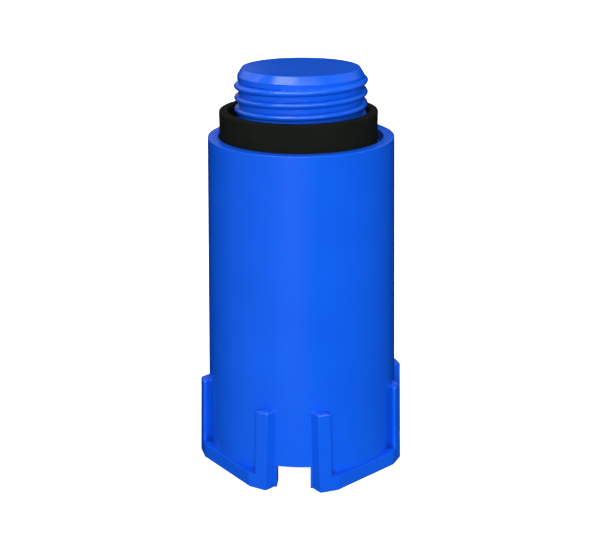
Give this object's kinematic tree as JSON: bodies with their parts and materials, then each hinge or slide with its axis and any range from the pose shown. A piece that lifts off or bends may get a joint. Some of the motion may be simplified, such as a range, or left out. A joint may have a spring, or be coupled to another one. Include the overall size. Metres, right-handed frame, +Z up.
{
  "type": "pipe test plug",
  "caption": "Hollow blanking plug for pressure-testing a pipe fitting, with a male pipe thread, a loose sealing ring and a slotted square wrench base.",
  "frame": {"origin": "centre of the bottom face, on the plug's axis, in the plane that the plug stands on", "axes": "+Z up the plug's axis towards the thread; the slots in the base lie along X and Y, and the wrench flats face halfway between them"},
  "size_m": [0.0346, 0.0346, 0.0655],
  "materials": {
    "body_plastic": "smooth moulded blue plastic with a soft gloss",
    "ring_rubber": "smooth black moulded rubber, satin"
  },
  "bodies": {
    "plug": {"plug_body": "body_plastic"},
    "ring": {"sealing_ring": "ring_rubber"}
  },
  "joints": [
    {"name": "ring_lift", "type": "slide", "parent": "plug", "child": "ring", "axis": [0, 0, 1], "range_m": [0, 0.02]}
  ]
}
